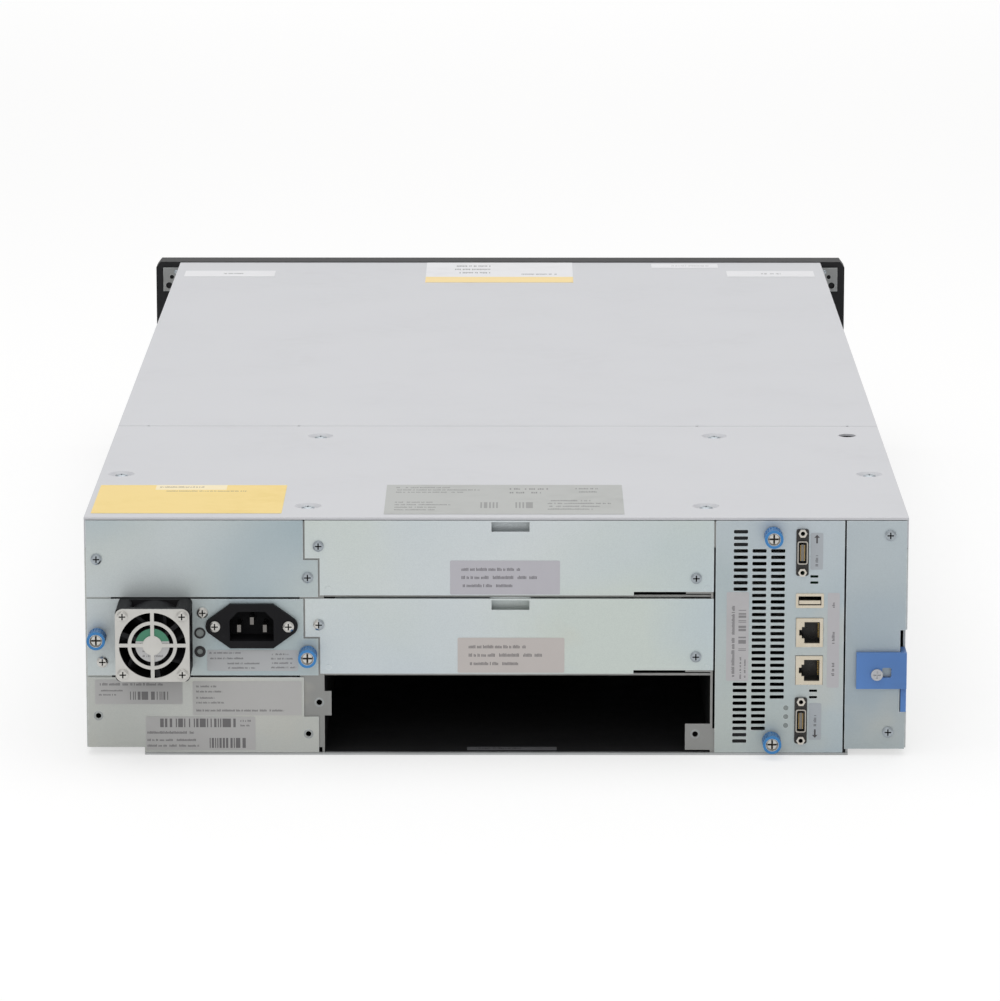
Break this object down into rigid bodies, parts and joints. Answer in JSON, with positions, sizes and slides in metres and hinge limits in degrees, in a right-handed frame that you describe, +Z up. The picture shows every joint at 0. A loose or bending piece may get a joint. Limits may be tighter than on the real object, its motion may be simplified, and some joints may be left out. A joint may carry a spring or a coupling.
{
  "type": "data tape library",
  "caption": "Rack-mounted data tape library with sliding magazines, a picker robot on a lift, drive bays, power supply and controller.",
  "frame": {"origin": "middle of the bounding box of the whole unit, on the underside", "axes": "+X to the supply side (left seen from behind), +Y to the rear panels, +Z up; the operator's front faces -Y"},
  "size_m": [0.48, 0.9216, 0.1325],
  "materials": {
    "cover_paint": "satin light grey coat",
    "zinc_sheet": "zinc plated, passivated, semi-gloss",
    "dark_zinc": "zinc plated, darker",
    "screw_steel": "nickel plated",
    "black_plastic": "moulded, fine texture",
    "gloss_black": "polished",
    "display_glass": "smooth",
    "lens": "clear lens",
    "board_green": "solder mask",
    "contact_metal": "plated",
    "socket_shell": "nickel plated",
    "blue_plastic": "moulded",
    "blue_anodised": "anodised, satin",
    "magazine_plastic": "moulded",
    "cartridge_plastic": "moulded",
    "robot_plastic": "moulded",
    "bright_steel": "ground",
    "gear_brass": "machined",
    "key_rubber": "moulded"
  },
  "bodies": {
    "chassis": {"base_pan": "zinc_sheet", "left_side_panel": "zinc_sheet", "right_side_panel": "zinc_sheet", "front_top_cover": "cover_paint", "rear_top_cover": "cover_paint", "top_screws": "screw_steel", "bulkhead": "zinc_sheet", "bay_wall_left": "dark_zinc", "bay_wall_right": "dark_zinc", "bay_shelves": "dark_zinc", "ear_brackets": "dark_zinc", "bezel_frame": "black_plastic", "operator_panel": "gloss_black", "display_window": "display_glass", "indicator_lights": "lens", "blank_cover": "zinc_sheet", "spare_supply_cover": "zinc_sheet", "bay_cover_upper": "zinc_sheet", "bay_cover_middle": "zinc_sheet", "cover_screws": "screw_steel", "supply_panel": "zinc_sheet", "supply_case": "dark_zinc", "circuit_boards": "board_green", "inlet": "black_plastic", "inlet_pins": "contact_metal", "fan_frame": "black_plastic", "fan_guard": "screw_steel", "controller_panel": "zinc_sheet", "module_ports": "contact_metal", "port_shells": "socket_shell", "alignment_panel": "zinc_sheet", "corner_racks": "bright_steel", "magazine_rails": "robot_plastic"},
    "alignment": {"alignment_lever": "blue_plastic", "alignment_bar": "bright_steel"},
    "fan_rotor": {"fan_rotor": "black_plastic"},
    "supply_thumbscrew_outer": {"supply_thumbscrew_outer": "blue_anodised"},
    "supply_thumbscrew_inner": {"supply_thumbscrew_inner": "blue_anodised"},
    "controller_thumbscrew_upper": {"controller_thumbscrew_upper": "blue_anodised"},
    "controller_thumbscrew_lower": {"controller_thumbscrew_lower": "blue_anodised"},
    "left_magazine": {"left_magazine": "magazine_plastic", "mail_slot": "magazine_plastic", "left_cartridges": "cartridge_plastic", "left_magazine_front": "black_plastic"},
    "right_magazine": {"right_magazine": "magazine_plastic", "right_cartridges": "cartridge_plastic", "right_magazine_front": "black_plastic"},
    "lift": {"lift_platform": "bright_steel", "lift_motors": "bright_steel"},
    "left_lift_shaft": {"left_lift_shaft": "bright_steel"},
    "right_lift_shaft": {"right_lift_shaft": "bright_steel"},
    "carriage": {"carriage": "bright_steel", "carriage_motor": "bright_steel"},
    "travel_pinion": {"travel_pinion": "gear_brass"},
    "picker": {"picker_tray": "robot_plastic"},
    "gripper": {"gripper": "robot_plastic"},
    "power_button": {"power_button": "key_rubber"},
    "enter_button": {"enter_button": "key_rubber"},
    "up_button": {"up_button": "key_rubber"},
    "down_button": {"down_button": "key_rubber"}
  },
  "joints": [
    {"name": "left_magazine_slide", "type": "slide", "parent": "chassis", "child": "left_magazine", "axis": [0, -1, 0], "range_m": [0, 0.42]},
    {"name": "right_magazine_slide", "type": "slide", "parent": "chassis", "child": "right_magazine", "axis": [0, -1, 0], "range_m": [0, 0.42]},
    {"name": "lift_travel", "type": "slide", "parent": "chassis", "child": "lift", "axis": [0, 0, 1], "range_m": [0, 0.0912]},
    {"name": "left_lift_spin", "type": "hinge", "parent": "lift", "child": "left_lift_shaft", "pos_m": [-0.096, -0.13075, 0.0095], "axis": [0, 1, 0], "range_deg": [-750, 1]},
    {"name": "right_lift_spin", "type": "hinge", "parent": "lift", "child": "right_lift_shaft", "pos_m": [0.096, -0.13075, 0.0095], "axis": [0, 1, 0], "range_deg": [-1, 750]},
    {"name": "carriage_travel", "type": "slide", "parent": "lift", "child": "carriage", "axis": [0, 1, 0], "range_m": [-0.2122, 0.2122]},
    {"name": "travel_pinion_spin", "type": "hinge", "parent": "carriage", "child": "travel_pinion", "pos_m": [0.074, -0.1802, 0.009], "axis": [0, 0, 1], "range_deg": [-1530, 1530]},
    {"name": "picker_turn", "type": "hinge", "parent": "carriage", "child": "picker", "pos_m": [0, -0.12053, 0.008], "axis": [0, 0, 1], "range_deg": [-90, 90]},
    {"name": "gripper_reach", "type": "slide", "parent": "picker", "child": "gripper", "axis": [0, 1, 0], "range_m": [0, 0.053]},
    {"name": "fan_spin", "type": "hinge", "parent": "chassis", "child": "fan_rotor", "pos_m": [0.1848, 0.44325, 0.0675], "axis": [0, 1, 0], "continuous": true},
    {"name": "alignment_lift", "type": "slide", "parent": "chassis", "child": "alignment", "axis": [0, 0, 1], "range_m": [0, 0.011]},
    {"name": "supply_thumbscrew_outer_turn", "type": "hinge", "parent": "chassis", "child": "supply_thumbscrew_outer", "pos_m": [0.2165, 0.43525, 0.0661], "axis": [0, 1, 0], "continuous": true},
    {"name": "supply_thumbscrew_inner_turn", "type": "hinge", "parent": "chassis", "child": "supply_thumbscrew_inner", "pos_m": [0.1022, 0.43525, 0.0563], "axis": [0, 1, 0], "continuous": true},
    {"name": "controller_thumbscrew_upper_turn", "type": "hinge", "parent": "chassis", "child": "controller_thumbscrew_upper", "pos_m": [-0.1497, 0.43525, 0.1224], "axis": [0, 1, 0], "continuous": true},
    {"name": "controller_thumbscrew_lower_turn", "type": "hinge", "parent": "chassis", "child": "controller_thumbscrew_lower", "pos_m": [-0.1497, 0.43525, 0.0085], "axis": [0, 1, 0], "continuous": true},
    {"name": "power_press", "type": "slide", "parent": "chassis", "child": "power_button", "axis": [0, 1, 0], "range_m": [0, 0.0008], "stiffness_N_per_m": 600},
    {"name": "enter_press", "type": "slide", "parent": "chassis", "child": "enter_button", "axis": [0, 1, 0], "range_m": [0, 0.0008], "stiffness_N_per_m": 600},
    {"name": "up_press", "type": "slide", "parent": "chassis", "child": "up_button", "axis": [0, 1, 0], "range_m": [0, 0.0008], "stiffness_N_per_m": 600},
    {"name": "down_press", "type": "slide", "parent": "chassis", "child": "down_button", "axis": [0, 1, 0], "range_m": [0, 0.0008], "stiffness_N_per_m": 600}
  ],
  "couplings": [
    {"joint": "left_lift_spin", "follows": "lift_travel", "rad_per_m": -142.86},
    {"joint": "right_lift_spin", "follows": "lift_travel", "rad_per_m": 142.86},
    {"joint": "travel_pinion_spin", "follows": "carriage_travel", "rad_per_m": -125}
  ]
}
